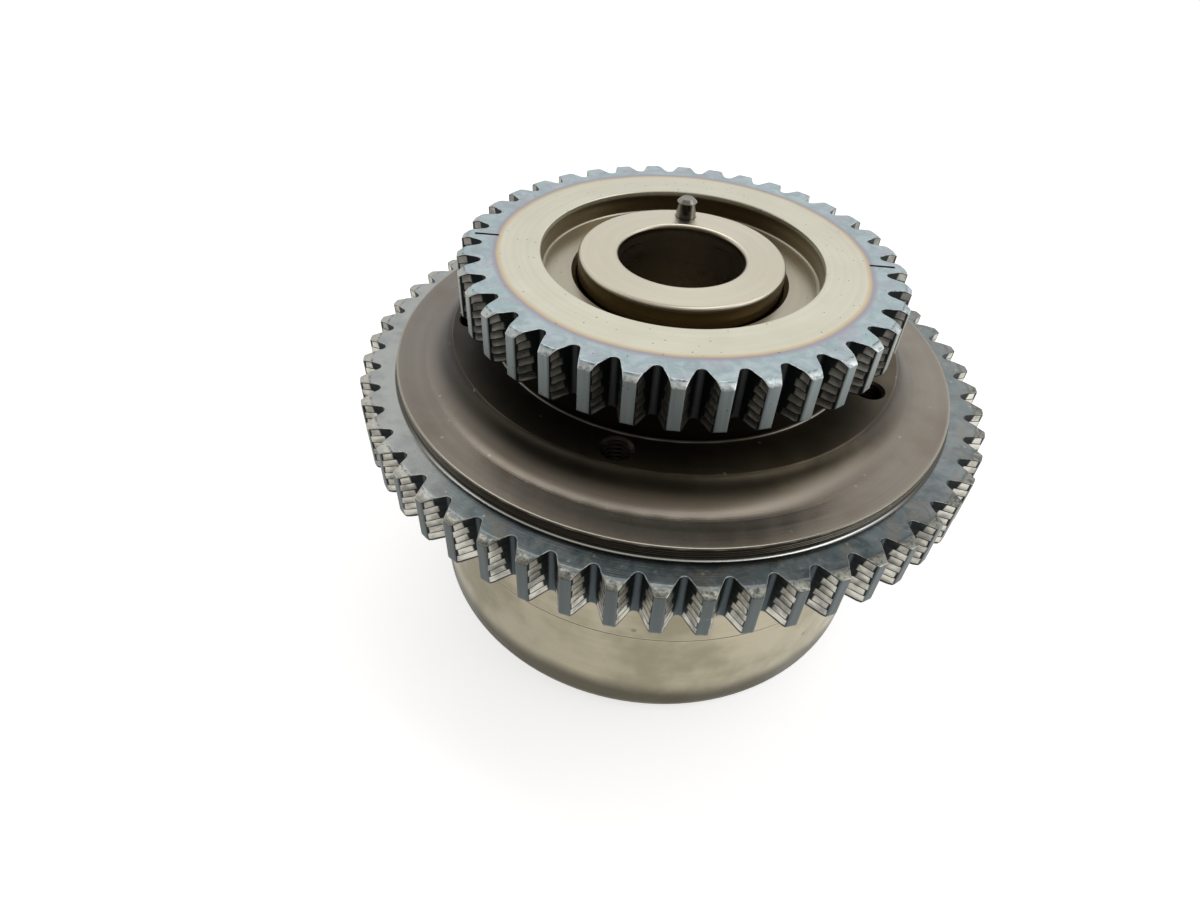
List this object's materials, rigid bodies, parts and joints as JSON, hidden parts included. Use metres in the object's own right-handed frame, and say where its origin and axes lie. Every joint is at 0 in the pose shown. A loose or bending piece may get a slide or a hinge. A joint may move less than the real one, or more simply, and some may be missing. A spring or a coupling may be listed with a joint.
{
  "type": "cam phaser",
  "caption": "Cam phaser: a large and a small inverted-tooth chain sprocket on a smooth vane drum, with a bored rotor hub that swings inside to shift cam timing.",
  "frame": {"origin": "middle of the drum's flat front face, on the common axis", "axes": "+Z along the common axis from the drum towards the small sprocket, -Y towards the picture's viewer, +X to the viewer's right"},
  "size_m": [0.1084, 0.1084, 0.0712],
  "materials": {
    "small_sprocket_steel": "satin, induction-hardened blue-grey teeth",
    "large_sprocket_steel": "dark oiled satin, blue-grey teeth",
    "drum_steel": "warm satin",
    "rotor_steel": "bright turned",
    "pin_steel": "ground",
    "spring_steel": "drawn wire",
    "bolt_steel": "black oxide",
    "seal_plastic": "matt"
  },
  "bodies": {
    "housing": {"secondary_sprocket": "small_sprocket_steel", "primary_sprocket": "large_sprocket_steel", "vane_housing": "drum_steel", "front_cover": "drum_steel", "lock_pin_seat": "pin_steel", "bias_spring": "spring_steel", "housing_bolts": "bolt_steel", "alignment_pins": "pin_steel", "lobe_seal_1": "seal_plastic", "lobe_seal_2": "seal_plastic", "lobe_seal_3": "seal_plastic", "lobe_seal_4": "seal_plastic", "lobe_seal_5": "seal_plastic", "lobe_seal_spring_1": "spring_steel", "lobe_seal_spring_2": "spring_steel", "lobe_seal_spring_3": "spring_steel", "lobe_seal_spring_4": "spring_steel", "lobe_seal_spring_5": "spring_steel"},
    "rotor": {"vane_rotor": "rotor_steel", "dowel_pin": "pin_steel", "lock_pin_plug": "pin_steel", "lock_pin_spring": "spring_steel", "vane_seal_1": "seal_plastic", "vane_seal_2": "seal_plastic", "vane_seal_3": "seal_plastic", "vane_seal_4": "seal_plastic", "vane_seal_5": "seal_plastic", "vane_seal_spring_1": "spring_steel", "vane_seal_spring_2": "spring_steel", "vane_seal_spring_3": "spring_steel", "vane_seal_spring_4": "spring_steel", "vane_seal_spring_5": "spring_steel"},
    "lock_pin_body": {"lock_pin": "pin_steel"}
  },
  "joints": [
    {"name": "rotor_swing", "type": "hinge", "parent": "housing", "child": "rotor", "pos_m": [0, 0, 0.03], "axis": [0, 0, 1], "range_deg": [0, 25], "stiffness_Nm_per_rad": 1.2},
    {"name": "lock_pin_slide", "type": "slide", "parent": "rotor", "child": "lock_pin_body", "axis": [0, 0, -1], "range_m": [0, 0.003], "stiffness_N_per_m": 2500, "deforming": ["lock_pin_spring"]}
  ]
}
